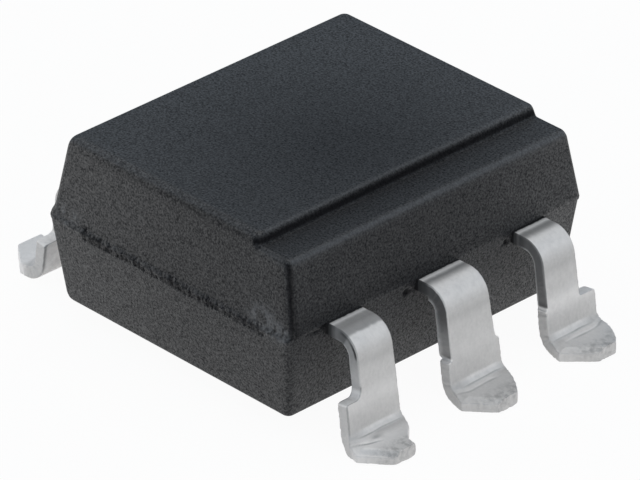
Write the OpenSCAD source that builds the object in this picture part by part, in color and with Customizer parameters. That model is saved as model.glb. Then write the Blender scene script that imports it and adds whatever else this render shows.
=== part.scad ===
// Six-lead surface-mount optocoupler with a light-triggered triac output.
// X runs across the two lead rows, towards the row with the stepped top edge.
// Y runs along the rows. Z is up, with the soles of the solder feet at zero.

/* [Moulded body] */
// Width across the rows at the parting line
body_w = 6.35; // [6.1:0.05:6.8]
// Length of the upper half along the rows at the parting line
body_l = 7.336; // [7.0:0.002:7.6]
// Height of the top face above the parting line
upper_h = 1.603; // [1.45:0.001:1.8]
// Depth of the underside below the parting line
lower_h = 1.787; // [1.6:0.001:2.0]
// Lean of the upper half's long sides, parting line to top face
upper_side_lean = 0.286; // [0.2:0.002:0.4]
// Lean of the upper half's ends
upper_end_lean = 0.173; // [0.05:0.001:0.3]
// Lean of the lower half's long sides, parting line to underside
lower_side_lean = 0.215; // [0.15:0.005:0.35]
// Lean of the lower half's ends
lower_end_lean = 0.198; // [0.05:0.002:0.3]
// Offset of the moulding from the middle of the lead frame, towards +X
body_offset = 0.04; // [0.01:0.01:0.08]
// How far the lower half stands proud of the upper half at the end in -Y
rim_proud = 0.08; // [0.02:0.01:0.1]
// Height of the slope on that proud rim
rim_drop = 0.075; // [0.03:0.005:0.12]
// How far the lower half stays behind the upper half at the end in +Y
far_set_back = 0.03; // [0.01:0.005:0.06]
// Rounding of the top face's edges
top_r = 0.11; // [0.05:0.01:0.2]
// Rounding of the top face's edge at the end in -Y
near_top_r = 0.22; // [0.1:0.01:0.3]
// Rounding of the underside's edges
low_r = 0.08; // [0.04:0.01:0.2]
// Rounding of the underside's long edge in -X
back_low_r = 0.2; // [0.1:0.01:0.3]
// Diameter of the ejector pin's mark on the underside
ejector_d = 1.2; // [0.8:0.1:1.6]
// Depth of the ejector pin's mark
ejector_depth = 0.04; // [0.02:0.01:0.08]

/* [Step on the first lead's side] */
// Drop from the top face to the ledge
step_drop = 0.202; // [0.16:0.002:0.35]
// Width of the ledge, from the step's foot to its outer edge
ledge_w = 0.76; // [0.5:0.01:1.1]
// Lean of the step's wall
step_lean = 0.103; // [0.03:0.001:0.15]
// Rounding of the step's own edges
step_r = 0.06; // [0.02:0.01:0.08]
// Rounding of the ledge's outer edge
ledge_edge_r = 0.15; // [0.03:0.01:0.2]

/* [Gull-wing leads] */
// Distance from lead to lead along a row
lead_pitch = 2.54; // [2.5:0.01:2.6]
// Thickness of the lead frame
lead_t = 0.25; // [0.2:0.01:0.3]
// Distance over the toes of both rows
lead_span = 10.16; // [9.8:0.02:10.4]
// Gap from the soles to the underside of the body
stand_off = 0.338; // [0.25:0.002:0.45]
// Flat run to the knee, from half the body's width
exit_run = 0.345; // [0.15:0.005:0.4]
// Inside radius of the knee
knee_r = 0.25; // [0.15:0.01:0.3]
// Inside radius of the heel
heel_r = 0.16; // [0.1:0.01:0.3]
// Outward lean of the shin, in degrees
shin_lean = 8; // [3:0.5:10]
// Height of an end lead's outer shoulder above the soles
shoulder_h = 0.88; // [0.75:0.01:1.05]
// Height of the other shoulders above the soles
inner_shoulder_h = 0.81; // [0.7:0.01:0.95]
// Fillet over a shoulder that is wide enough for it
shoulder_r = 0.15; // [0.05:0.01:0.18]
// Widening of the foot on its clipped side, from the heel to the clip
foot_flare = 0.1; // [0.02:0.01:0.14]
// Length of the straight clip at the toe, along X
toe_clip = 0.52; // [0.4:0.02:0.6]
// Length of the long curve on the foot's other side, along X
toe_taper = 0.86; // [0.5:0.02:0.94]
// Width of the toe
toe_w = 0.45; // [0.3:0.01:0.6]

/* [Lead widths] */
// Width of a middle lead above its shoulders
strip_w = 1.07; // [0.9:0.01:1.2]
// Shoulder on each side of a middle lead
mid_shoulder = 0.095; // [0.05:0.005:0.15]
// An end lead's reach from its pitch line towards the middle lead, above the shoulders
end_strip_in = 0.635; // [0.55:0.005:0.7]
// An end lead's reach from its pitch line outwards, above the shoulders
end_strip_out = 0.225; // [0.15:0.005:0.4]
// An end lead's shoulder on the side of the middle lead
end_shoulder_in = 0.025; // [0.02:0.005:0.1]
// An end lead's shoulder on the outer side
end_shoulder_out = 0.375; // [0.25:0.005:0.45]

/* [Lead frame inside the body] */
// Insulation gap between the emitter's pad and the detector's pad
pad_gap = 0.8; // [0.6:0.05:1.0]
// Gap between a pad and the bond posts beside it
post_gap = 0.25; // [0.2:0.01:0.35]
// Length of the emitter's pad, across the rows
emitter_pad_l = 1.15; // [1.0:0.05:1.3]
// Width of the emitter's pad, along the rows
emitter_pad_w = 1.2; // [1.1:0.05:1.4]
// Length of the detector's pad, across the rows
detector_pad_l = 1.5; // [1.3:0.05:1.7]
// Width of the detector's pad, along the rows
detector_pad_w = 1.7; // [1.5:0.05:1.9]
// Width of a bond post
post_w = 0.5; // [0.4:0.05:0.6]
// Depth of the unconnected lead inside the body
anchor_depth = 1.25; // [0.9:0.05:1.5]
// Length of its anchor bar across the rows
anchor_l = 0.35; // [0.25:0.05:0.5]
// Reach of the anchor bar past each edge of the lead
anchor_reach = 0.3; // [0.15:0.05:0.35]

/* [Chips, wires and gel] */
// Side of the square emitter chip
emitter_w = 0.3; // [0.25:0.01:0.4]
// Distance of the emitter chip's centre from its pad's inner edge
emitter_inset = 0.38; // [0.3:0.02:0.5]
// Thickness of the emitter chip
emitter_t = 0.24; // [0.18:0.01:0.28]
// Length of the detector chip, across the rows
detector_l = 1; // [0.8:0.05:1.1]
// Width of the detector chip, along the rows
detector_w = 1.2; // [1.1:0.05:1.3]
// Thickness of the detector chip
detector_t = 0.24; // [0.18:0.01:0.28]
// Distance of a wire's end from the edge of the detector chip or the post that it is bonded to
bond_inset = 0.12; // [0.08:0.01:0.2]
// Thickness of the adhesive film under a chip
attach_t = 0.03; // [0.02:0.005:0.05]
// Margin of the adhesive film round a chip
attach_margin = 0.05; // [0.03:0.01:0.08]
// Diameter of the bond wires
wire_d = 0.04; // [0.03:0.005:0.05]
// Diameter of the bond at a wire's end
bond_d = 0.1; // [0.08:0.01:0.12]
// Height of the bond at a wire's end
bond_h = 0.04; // [0.03:0.005:0.05]
// Radius of the gel dome's base
gel_r = 2; // [1.9:0.05:2.2]
// Height of the gel dome
gel_h = 1.2; // [1.15:0.05:1.3]
// Offset of the dome from the middle, towards the detector
gel_offset = 0.15; // [0:0.05:0.3]

/* [Hidden] */
$fn = 48;
ARC_STEPS = 6;
BEND_STEPS = 8;
// How far a cutting prism passes what it cuts
overrun = lead_pitch;

parting_z = stand_off + lower_h;

// Centres of the lead's bends in X and Z, on the side of the positive row
knee = [body_w / 2 + exit_run, parting_z - lead_t - knee_r];
bend_reach = knee_r + lead_t + heel_r;
heel_z = lead_t + heel_r;
shin_l = (knee[1] + bend_reach * sin(shin_lean) - heel_z) / cos(shin_lean);
heel = [knee[0] + bend_reach * cos(shin_lean) + shin_l * sin(shin_lean), heel_z];
// Where the bent part of a lead starts inside the body, and where it ends
root_x = body_w / 2 - upper_side_lean;
toe_x = lead_span / 2;

// Reaches of each kind of lead, as [towards -Y, towards +Y] from its pitch line
mid_strip = [strip_w / 2, strip_w / 2];
mid_tab = mid_strip + [mid_shoulder, mid_shoulder];
end_strip = [end_strip_out, end_strip_in];
end_tab = end_strip + [end_shoulder_out, end_shoulder_in];
// Heights of their shoulders on the same two sides
mid_level = [inner_shoulder_h, inner_shoulder_h];
end_level = [shoulder_h, inner_shoulder_h];

// Chip places on the pads, and the posts beside them
emitter_x = pad_gap / 2 + emitter_inset;
detector_x = -pad_gap / 2 - detector_pad_l / 2;
emitter_post_y = emitter_pad_w / 2 + post_gap;
detector_post_y = detector_pad_w / 2 + post_gap;
emitter_top_z = parting_z + attach_t + emitter_t;
detector_top_z = parting_z + attach_t + detector_t;
// Ends of the detector's wires along Y, on the chip and on the posts
ball_y = detector_w / 2 - bond_inset;
stitch_y = detector_post_y + bond_inset;

// Unit vector from one outline point to another
function heading(from, to) = (to - from) / norm(to - from);

// Points of an arc of radius r that rounds the corner at b, between the edges from a and to c
function corner_arc(a, b, c, r) =
    let (u = heading(b, a), v = heading(b, c), half = acos(u * v) / 2,
         centre = b + heading([0, 0], u + v) * r / sin(half), start = b + u * r / tan(half) - centre,
         turn = (180 - 2 * half) * sign(u[1] * v[0] - u[0] * v[1]))
    [for (i = [0:ARC_STEPS]) let (t = -turn * i / ARC_STEPS)
        centre + [start[0] * cos(t) + start[1] * sin(t), start[1] * cos(t) - start[0] * sin(t)]];

// Outline with rounded corners, from a list of [x, y, radius]; radius zero keeps a corner sharp
function rounded(p) =
    [for (i = [0:len(p) - 1])
        let (a = p[(i + len(p) - 1) % len(p)], b = p[i], c = p[(i + 1) % len(p)])
        each b[2] == 0 ? [[b[0], b[1]]] : corner_arc([a[0], a[1]], [b[0], b[1]], [c[0], c[1]], b[2])];

// Prism of an outline in X and Z, centred on Y
module along_y(outline, length)
    translate([0, length / 2, 0]) rotate([90, 0, 0]) linear_extrude(length) polygon(outline);

// Prism of an outline in Y and Z, centred on X
module along_x(outline, length)
    rotate([90, 0, 90]) translate([0, 0, -length / 2]) linear_extrude(length) polygon(outline);

// Place along X of the upper half's long side at the height of the ledge
function ledge_side_x() = body_w / 2 - upper_side_lean * (upper_h - step_drop) / upper_h;

// Upper half of the moulding, with the step along its long edge in +X
module upper_half() {
    top_x = body_w / 2 - upper_side_lean;
    top_y = body_l / 2 - upper_end_lean;
    ledge_z = upper_h - step_drop;
    step_x = ledge_side_x() - ledge_w;
    translate([body_offset, rim_proud / 2, parting_z]) intersection() {
        along_y(rounded([[-body_w / 2, 0, 0], [body_w / 2, 0, 0], [ledge_side_x(), ledge_z, ledge_edge_r],
                         [step_x, ledge_z, step_r], [step_x - step_lean, upper_h, step_r],
                         [-top_x, upper_h, top_r]]), body_l + overrun);
        along_x(rounded([[-body_l / 2, 0, 0], [body_l / 2, 0, 0], [top_y, upper_h, top_r],
                         [-top_y, upper_h, near_top_r]]), body_w + overrun);
    }
}

// Lower half of the moulding, with its proud sloping rim at the end in -Y
module lower_half() {
    low_x = body_w / 2 - lower_side_lean;
    near_y = body_l / 2;
    far_y = near_y + rim_proud - far_set_back;
    rim_y = near_y - lower_end_lean * rim_drop / lower_h;
    translate([body_offset, -rim_proud / 2, parting_z]) intersection() {
        along_y(rounded([[-body_w / 2, 0, 0], [-low_x, -lower_h, back_low_r], [low_x, -lower_h, low_r],
                         [body_w / 2, 0, 0]]), body_l + overrun);
        along_x(rounded([[rim_proud - near_y, 0, 0], [-rim_y, -rim_drop, 0],
                         [lower_end_lean - near_y, -lower_h, low_r], [far_y - lower_end_lean, -lower_h, low_r],
                         [far_y, 0, 0]]), body_w + overrun);
    }
}

// Points along an arc in degrees
function arc(centre, r, from, to) =
    [for (i = [0:BEND_STEPS]) let (t = from + (to - from) * i / BEND_STEPS) centre + r * [cos(t), sin(t)]];

// Side outline of a bent lead in X and Z: flat run, knee, leaning shin, heel and foot
function side_outline() = concat(
    [[root_x, parting_z]],
    arc(knee, knee_r + lead_t, 90, shin_lean),
    arc(heel, heel_r, 180 + shin_lean, 270),
    [[toe_x, lead_t], [toe_x, 0]],
    arc(heel, heel_r + lead_t, 270, 180 + shin_lean),
    arc(knee, knee_r, shin_lean, 90),
    [[root_x, parting_z - lead_t]]);

// Front outline of a lead in Y and Z: a strip that widens at filleted shoulders and flares at the heel
function front_outline(strip, tab, level) = rounded([
    [strip[1], parting_z + overrun, 0], [strip[1], level[1], min(shoulder_r, tab[1] - strip[1])],
    [tab[1], level[1], 0], [tab[1], -overrun, 0], [-tab[0] - foot_flare, -overrun, 0],
    [-tab[0] - foot_flare, lead_t, 0], [-tab[0], heel_z, 0],
    [-tab[0], level[0], 0], [-strip[0], level[0], min(shoulder_r, tab[0] - strip[0])],
    [-strip[0], parting_z + overrun, 0]]);

// Long side of the foot in plan: an arc that leaves the tab's edge along X and ends at the toe's corner
function long_side(reach) =
    let (narrowing = reach - toe_w / 2, r = (toe_taper * toe_taper + narrowing * narrowing) / (2 * narrowing))
    arc([toe_x - toe_taper, reach - r], r, 90, asin((toe_w / 2 - reach + r) / r));

// Clipped side of the foot in plan, from the toe's corner: a straight clip, then the flare back to the heel
function clipped_side(reach) =
    [[toe_x, -toe_w / 2], [toe_x - toe_clip, -reach - foot_flare], [heel[0] - heel_r - lead_t, -reach]];

// Plan outline of a lead in X and Y
function plan_outline(tab) = concat([[0, tab[1]]], long_side(tab[1]), clipped_side(tab[0]), [[0, -tab[0]]]);

// The bent part of a lead outside the body, in the positive row, on its pitch line
module gull_wing(strip, tab, level) intersection() {
    along_y(side_outline(), 2 * (tab[0] + tab[1]));
    along_x(front_outline(strip, tab, level), 2 * lead_span);
    translate([0, 0, -overrun]) linear_extrude(parting_z + 2 * overrun) polygon(plan_outline(tab));
}

// Pair of values for an end lead, given for the lead in -Y and turned about for the one in +Y
function facing(pair, side) = side < 0 ? pair : [pair[1], pair[0]];

// Bent part of an end lead of the positive row; side is -1 for the lead in -Y and 1 for the one in +Y
module end_wing(side) translate([0, side * lead_pitch, 0])
    gull_wing(facing(end_strip, side), facing(end_tab, side), facing(end_level, side));

// Plate of the lead frame inside the body, between two corners in X and Y
module frame_plate(low, high)
    translate([low[0], low[1], parting_z - lead_t]) cube([high[0] - low[0], high[1] - low[1], lead_t]);

// Middle lead of the positive row, with a pad at its inner end
module padded_lead(pad_l, pad_w) {
    gull_wing(mid_strip, mid_tab, mid_level);
    frame_plate([pad_gap / 2, -strip_w / 2], [body_w / 2, strip_w / 2]);
    frame_plate([pad_gap / 2, -pad_w / 2], [pad_gap / 2 + pad_l, pad_w / 2]);
}

// Inner plates of the end lead in -Y: a bond post turns in beside a pad
module post_plates(post_x, post_y) {
    frame_plate([post_x - post_w / 2, -lead_pitch - end_strip_out], [body_w / 2, -lead_pitch + end_strip_in]);
    frame_plate([post_x - post_w / 2, -lead_pitch], [post_x + post_w / 2, -post_y]);
}

// Inner plates of an end lead in -Y that carries nothing: it ends in an anchor bar
module anchor_plates() {
    inner_x = body_w / 2 - anchor_depth;
    frame_plate([inner_x, -lead_pitch - end_strip_out], [body_w / 2, -lead_pitch + end_strip_in]);
    frame_plate([inner_x, -lead_pitch - end_strip_out - anchor_reach],
                [inner_x + anchor_l, -lead_pitch + end_strip_in + anchor_reach]);
}

module anode_lead() color("silver") {
    end_wing(-1);
    post_plates(emitter_x, emitter_post_y);
}

module cathode_lead() color("silver") padded_lead(emitter_pad_l, emitter_pad_w);

module unconnected_lead() color("silver") {
    end_wing(1);
    mirror([0, 1, 0]) anchor_plates();
}

module terminal_lead_a() color("silver") rotate([0, 0, 180]) {
    end_wing(-1);
    post_plates(-detector_x, detector_post_y);
}

module substrate_lead() color("silver") rotate([0, 0, 180]) padded_lead(detector_pad_l, detector_pad_w);

module terminal_lead_b() color("silver") rotate([0, 0, 180]) {
    end_wing(1);
    mirror([0, 1, 0]) post_plates(-detector_x, detector_post_y);
}

// Flat block above the lead frame's upper face, centred on a place along X
module chip_block(x, size, lift)
    translate([x - size[0] / 2, -size[1] / 2, parting_z + lift]) cube(size);

module emitter_chip() color("darkslategray")
    chip_block(emitter_x, [emitter_w, emitter_w, emitter_t], attach_t);

module emitter_attach() color("lightgray") {
    side = emitter_w + 2 * attach_margin;
    chip_block(emitter_x, [side, side, attach_t], 0);
}

module detector_chip() color("slategray")
    chip_block(detector_x, [detector_l, detector_w, detector_t], attach_t);

module detector_attach() color("lightgray")
    chip_block(detector_x, [detector_l + 2 * attach_margin, detector_w + 2 * attach_margin, attach_t], 0);

// Wire that rises from a chip's top, arches over and comes down on a post
module bond_wire(chip_xy, chip_z, post_xy) {
    span = norm(post_xy - chip_xy);
    spring_z = chip_z + bond_h;
    translate([chip_xy[0], chip_xy[1], chip_z]) cylinder(d = bond_d, h = bond_h);
    translate([post_xy[0], post_xy[1], parting_z]) cylinder(d = bond_d, h = bond_h);
    translate([post_xy[0], post_xy[1], parting_z]) cylinder(d = wire_d, h = spring_z - parting_z);
    translate([(chip_xy[0] + post_xy[0]) / 2, (chip_xy[1] + post_xy[1]) / 2, spring_z])
        rotate([90, 0, atan2(post_xy[1] - chip_xy[1], post_xy[0] - chip_xy[0])])
            rotate_extrude(angle = 180) translate([span / 2, 0]) circle(d = wire_d);
}

module emitter_wire() color("gold")
    bond_wire([emitter_x, 0], emitter_top_z, [emitter_x, -emitter_post_y - bond_inset]);

module detector_wire_a() color("gold")
    bond_wire([detector_x, ball_y], detector_top_z, [detector_x, stitch_y]);

module detector_wire_b() color("gold")
    bond_wire([detector_x, -ball_y], detector_top_z, [detector_x, -stitch_y]);

// Whole dome of gel, a cap of a sphere on the lead frame's upper face
module gel_dome() {
    sphere_r = (gel_r * gel_r + gel_h * gel_h) / (2 * gel_h);
    translate([-gel_offset, 0, parting_z]) intersection() {
        translate([0, 0, gel_h - sphere_r]) sphere(r = sphere_r);
        translate([-gel_r - overrun, -gel_r - overrun, 0])
            cube([2 * (gel_r + overrun), 2 * (gel_r + overrun), gel_h + overrun]);
    }
}

module coupling_gel() color("lightcyan", 0.4) difference() {
    gel_dome();
    emitter_chip();
    emitter_attach();
    emitter_wire();
    detector_chip();
    detector_attach();
    detector_wire_a();
    detector_wire_b();
}

module body() color([0.2, 0.21, 0.23]) difference() {
    union() {
        upper_half();
        lower_half();
    }
    anode_lead();
    cathode_lead();
    unconnected_lead();
    terminal_lead_a();
    substrate_lead();
    terminal_lead_b();
    gel_dome();
    emitter_wire();
    detector_wire_a();
    detector_wire_b();
    translate([body_offset, 0, stand_off - overrun]) cylinder(d = ejector_d, h = ejector_depth + overrun);
}

body();
anode_lead();
cathode_lead();
unconnected_lead();
terminal_lead_a();
substrate_lead();
terminal_lead_b();
emitter_chip();
emitter_attach();
emitter_wire();
detector_chip();
detector_attach();
detector_wire_a();
detector_wire_b();
coupling_gel();
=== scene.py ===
"""Looks of a six-lead surface-mount optocoupler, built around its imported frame.

Shapes are worked out in millimetres, and meshes and settings are kept in metres.
"""

import math
from types import SimpleNamespace

import bpy
import numpy as np
from bpy.props import FloatProperty, FloatVectorProperty, PointerProperty
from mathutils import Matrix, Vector


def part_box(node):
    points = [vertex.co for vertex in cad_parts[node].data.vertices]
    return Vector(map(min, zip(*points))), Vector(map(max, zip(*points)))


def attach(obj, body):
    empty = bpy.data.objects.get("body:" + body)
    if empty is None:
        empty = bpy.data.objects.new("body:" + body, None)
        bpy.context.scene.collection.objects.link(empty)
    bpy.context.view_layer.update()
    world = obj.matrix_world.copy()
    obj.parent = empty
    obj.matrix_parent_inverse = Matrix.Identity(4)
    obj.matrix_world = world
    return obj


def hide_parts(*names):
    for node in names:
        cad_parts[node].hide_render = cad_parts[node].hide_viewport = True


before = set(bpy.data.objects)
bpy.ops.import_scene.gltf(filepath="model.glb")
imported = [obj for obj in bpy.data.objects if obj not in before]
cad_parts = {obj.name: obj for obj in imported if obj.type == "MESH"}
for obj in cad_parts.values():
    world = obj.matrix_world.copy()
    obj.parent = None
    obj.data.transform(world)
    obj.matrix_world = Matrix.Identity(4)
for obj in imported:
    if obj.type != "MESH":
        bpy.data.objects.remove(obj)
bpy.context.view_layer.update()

bl_info = {
    "name": "Surface-mount optocoupler",
    "version": (1, 0, 0),
    "blender": (4, 5, 0),
    "location": "View3D > Sidebar > Optocoupler",
    "description": "Builds the moulding, the formed leads and the stage of a six-lead optocoupler",
    "category": "Object",
}

MM = 0.001
BODY_LOW, BODY_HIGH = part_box("body")
HALF_BODY = (BODY_HIGH.x - BODY_LOW.x) / 2 / MM
BODY_SHIFT = (BODY_HIGH.x + BODY_LOW.x) / 2 / MM
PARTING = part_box("cathode_lead")[1].z / MM

# Two of the moulding's four sides, as ring_columns counts them
FIRST_SIDE, NEAR_END = 0, 3

# Range that most of a noise texture's values lie in
NOISE_LOW, NOISE_HIGH = 0.3, 0.7

# Pits beside the leads: place along the row, half width, drop below the parting line, half height, strength
PITS = ((-0.75, 0.12, 0.2, 0.09, 1.0), (-0.58, 0.05, 0.2, 0.06, 0.25), (1.77, 0.06, 0.17, 0.07, 1.0),
        (1.68, 0.04, 0.21, 0.04, 0.6), (-3.01, 0.10, 0.09, 0.04, 0.8), (-2.8, 0.12, 0.05, 0.05, 0.8),
        (-3.2, 0.08, 0.06, 0.03, 0.5), (-2.92, 0.06, 0.1, 0.03, 0.5))

# Rubbed patches on the near end: place along it, half width, height above the parting line, half height
SCUFFS = ((2.85, 0.28, 0.03, 0.1), (2.95, 0.3, -0.01, 0.12), (2.4, 0.35, 0.15, 0.2), (-2.75, 0.3, 0.08, 0.16))

# Every lead, unless its own entry below says otherwise: the darker band's end, the start of its fading, its
# darkness and how much darker it grows; painted highlight on shin, foot and inner face; height of the burr;
# lift of the foot; where the lower facet ends and how far it tilts; strength of the tool marks; depth of the
# ragged toe; smudge; toe patches
PLAIN_LEAD = dict(band=0.36, band_fade=0.21, band_dark=0.68, band_grow=0.0, shin_polish=0.15,
                  foot_polish=0.25, inner_polish=0.0, burr=0.0, raised=0.0, facet_end=0.9, facet_tilt=0.0,
                  marked=1.0, ragged=0.04, smudge=0.0, patchy=0.45)

# Every side of a lead likewise: (length, flare, early share) of its own toe clip; nick; roll of the foot's
# edge; splay of the strip; length of painted shade beside the body; how dark its sheared edge is, from
# unplated metal and painted shade, less so low down, and between which heights; dark lines along the outer
# and the inner corner; crack
PLAIN_SIDE = dict(clip=None, nick=0.0, roll=0.0, splay=0.0, shaded=0.5, bare=0.35, bare_low=0.6,
                  bare_from=-0.076, bare_to=0.13, outer_line=0.0, inner_line=0.0, crack=0.0)

# What single leads have of their own, in shape, wear and strength of painted light and shade: the whole
# lead, its low side and its high side
OWN_WEAR = {
    "anode_lead": (
        dict(band=0.51, band_fade=0.46, band_dark=0.45, band_grow=0.6, shin_polish=0.35, foot_polish=0.6,
             raised=0.03, facet_end=0.55, facet_tilt=0.35, smudge=0.4),
        dict(level=0.92, toe=0.31, clip=(0.52, 0.18, 0.8), roll=0.1, shaded=0.34, bare_low=0.1,
             outer_line=0.36, inner_line=0.45, crack=0.8),
        dict(strip=0.65, splay=0.015, shoulder=0.02, toe=0.22, power=1.4, nick=0.15)),
    "cathode_lead": (
        dict(burr=0.085, foot_polish=0.1),
        dict(shoulder=0.075, level=0.765, toe=0.25, clip=(0.52, 0.1, 0.35), roll=0.06, bare=0.79,
             bare_low=0.55, bare_from=-0.1, bare_to=0.1, inner_line=0.2),
        dict(splay=0.035, shoulder=0.15, power=1.6, fillet=(0.09, 0.35))),
    "unconnected_lead": (
        dict(band=0.40, band_fade=0.24, band_dark=0.62, shin_polish=0.6),
        dict(strip=0.2, splay=0.02, shoulder=0.415, level=0.80, fillet=(0.05, 0.06)),
        dict(shoulder=0.02, clip=(0.52, 0.1, 0.35), roll=0.06, shaded=0.3, bare=0.72, bare_low=1.0,
             inner_line=0.3)),
    "terminal_lead_b": (
        dict(inner_polish=1.0, foot_polish=1.0, patchy=0.12, marked=0.3, ragged=0.01, raised=0.025),
        dict(level=0.89, fillet=(0.15, 0.10), clip=(0.54, 0.045, 0.8), toe=0.225, bare=0.0, inner_line=0.45),
        dict(toe=0.42, clip=(0.5, 0.015, 0.5), nick=0.22)),
}


def length(name, about, millimetres):
    """A property that holds a length, given in millimetres and kept in metres."""
    return FloatProperty(name=name, description=about, default=millimetres * MM, unit="LENGTH", precision=6)


def place(name, about, millimetres):
    """A property that holds a place, given in millimetres and kept in metres."""
    metres = [part * MM for part in millimetres]
    return FloatVectorProperty(name=name, description=about, default=metres, subtype="XYZ", unit="LENGTH")


def angle(name, about, degrees):
    """A property that holds an angle, given in degrees."""
    return FloatProperty(name=name, description=about, default=math.radians(degrees), subtype="ANGLE")


def number(name, about, value):
    """A property that holds a plain number."""
    return FloatProperty(name=name, description=about, default=value)


def colour(name, about, rgb):
    """A property that holds a linear colour."""
    return FloatVectorProperty(name=name, description=about, default=rgb, subtype="COLOR", min=0, max=1)


class MouldingSettings(bpy.types.PropertyGroup):
    """Sizes and colours of the moulded body."""

    body_width: length("Width", "Width of the body across the rows at the parting line", 6.35)
    body_length: length("Length", "Length of each half along the rows at the parting line", 7.336)
    upper: length("Upper height", "Height of the upper half above the parting line", 1.603)
    lower: length("Lower height", "Height of the lower half below the parting line", 1.787)
    near_proud: length("Near rim", "How far the lower half stands proud at the near end", 0.08)
    far_proud: length("Far rim", "How far the upper half stands proud at the far end", 0.03)
    rim_chamfer: length("Rim chamfer", "Height of the slope where the lower half stands proud", 0.075)
    upper_side_lean: length("Upper side lean", "Draft of the upper half's long sides", 0.286)
    upper_end_lean: length("Upper end lean", "Draft of the upper half's ends", 0.173)
    lower_side_lean: length("Lower side lean", "Draft of the lower half's long sides", 0.215)
    lower_end_lean: length("Lower end lean", "Draft of the lower half's ends", 0.198)
    top_radius: length("Top edge radius", "Rounding of the top face's edges", 0.11)
    top_near_radius: length("Near top edge radius", "Rounding of the top face's near edge", 0.22)
    bottom_radius: length("Bottom edge radius", "Rounding of the underside's edges", 0.08)
    bottom_back_radius: length("Back bottom edge radius", "Rounding on the far row's side", 0.2)
    corner_radius: length("Corner radius", "Rounding of the upright edges", 0.116)
    step_drop: length("Step drop", "Drop from the top face to the ledge", 0.202)
    ledge_width: length("Ledge width", "Width of the ledge along the first lead's side", 0.76)
    step_lean: length("Step lean", "Lean of the step's wall", 0.103)
    step_radius: length("Step radius", "Rounding of the step's own edges", 0.06)
    ledge_radius: length("Ledge radius", "Rounding of the ledge's outer edge", 0.15)
    ledge_end_drop: length("Ledge end rounding", "Height of the rounding at the ledge's two ends", 0.15)
    skew: length("Skew", "How far the upper half's first side stands out at the far end", 0.025)
    ejector_diameter: length("Ejector mark", "Diameter of the ejector pin's mark on the underside", 1.2)
    ejector_depth: length("Ejector mark depth", "Depth of the ejector pin's mark", 0.04)
    scar_length: length("Scar length", "Length of the broken flash along the near end", 4.9)
    scar_height: length("Scar height", "Height of the broken flash below the parting line", 0.25)
    scar_place: length("Scar place", "Middle of the broken flash along the near end", 0.13)
    scar_depth: length("Scar depth", "Depth of the deepest pits in the broken flash", 0.03)
    pit_depth: length("Pit depth", "Depth of the pits beside the leads", 0.025)
    lip_reach: length("Lip reach", "Reach of the lip of flash at one corner", 0.06)
    dark: colour("Epoxy dark", "Darker tone of the moulding compound", (0.009, 0.009, 0.010))
    light: colour("Epoxy light", "Lighter tone of the moulding compound", (0.019, 0.020, 0.022))
    # The same colour is the painted shade's colour in hollows, corners and on the step's wall
    scar: colour("Broken epoxy", "Tone of the broken flash and of shaded hollows", (0.006, 0.006, 0.007))
    # Colour of the painted highlights on the rims, also used for the real scuffed patches
    worn: colour("Worn epoxy", "Tone of the worn outer edges", (0.072, 0.074, 0.078))
    # Painted shade in the sheen: the epoxy's reflection is dimmed near these two places to stand in for
    # uneven light
    dull_middle: place("Dull middle", "Middle of the top face's duller area", (0.9, 0.0, 3.7))
    dull_corner: place("Dull corner", "Corner towards which the sheen falls off", (3.1, -3.6, 2.6))


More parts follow.
